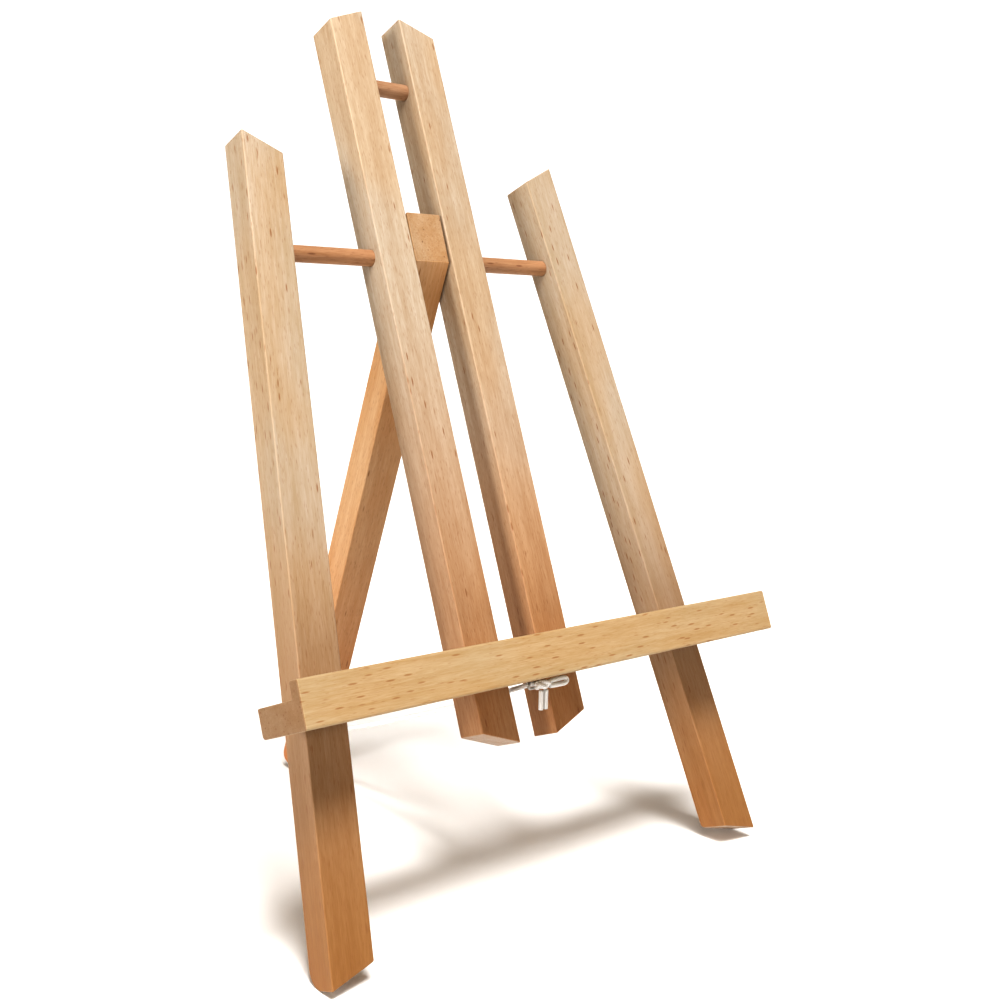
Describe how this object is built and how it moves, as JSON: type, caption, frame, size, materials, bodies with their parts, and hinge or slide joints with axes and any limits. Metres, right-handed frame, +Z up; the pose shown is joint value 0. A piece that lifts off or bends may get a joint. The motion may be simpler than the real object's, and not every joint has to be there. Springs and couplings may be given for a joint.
{
  "type": "tabletop easel",
  "caption": "Small folding beech easel: splayed front legs and two centre bars on dowels, an L-shaped ledge, and a rear leg held open by a cord.",
  "frame": {"origin": "middle of the easel's footprint on the table, rear leg open", "axes": "+Z up, -Y the side that faces the viewer, +X the viewer's right"},
  "size_m": [0.279, 0.2412, 0.4176],
  "materials": {
    "beech": "sanded beech with a thin clear satin coat",
    "beech_light": "sanded beech with a thin clear satin coat, paler",
    "dowel": "turned hardwood dowel, clear satin coat",
    "steel": "bright zinc-plated steel",
    "cord": "white braided cotton cord"
  },
  "bodies": {
    "frame": {"left_leg": "beech_light", "right_leg": "beech_light", "left_centre_bar": "beech", "right_centre_bar": "beech", "ledge": "beech_light", "cross_dowel": "dowel", "top_dowel": "dowel", "ledge_screw_left_leg": "steel", "ledge_screw_left_bar": "steel", "ledge_screw_right_bar": "steel", "ledge_screw_right_leg": "steel", "cord_staple": "steel", "cord_strand_left": "cord", "cord_strand_right": "cord", "cord_knot": "cord", "cord_loop": "cord", "cord_tail_left": "cord", "cord_tail_right": "cord"},
    "rear_leg": {"rear_leg": "beech", "cord_stopper_knot": "cord"}
  },
  "joints": [
    {"name": "rear_leg_fold", "type": "hinge", "parent": "frame", "child": "rear_leg", "pos_m": [0, 0.00016, 0.29336], "axis": [-1, 0, 0], "range_deg": [0, 42.3], "deforming": ["cord_strand_left", "cord_strand_right"]}
  ]
}
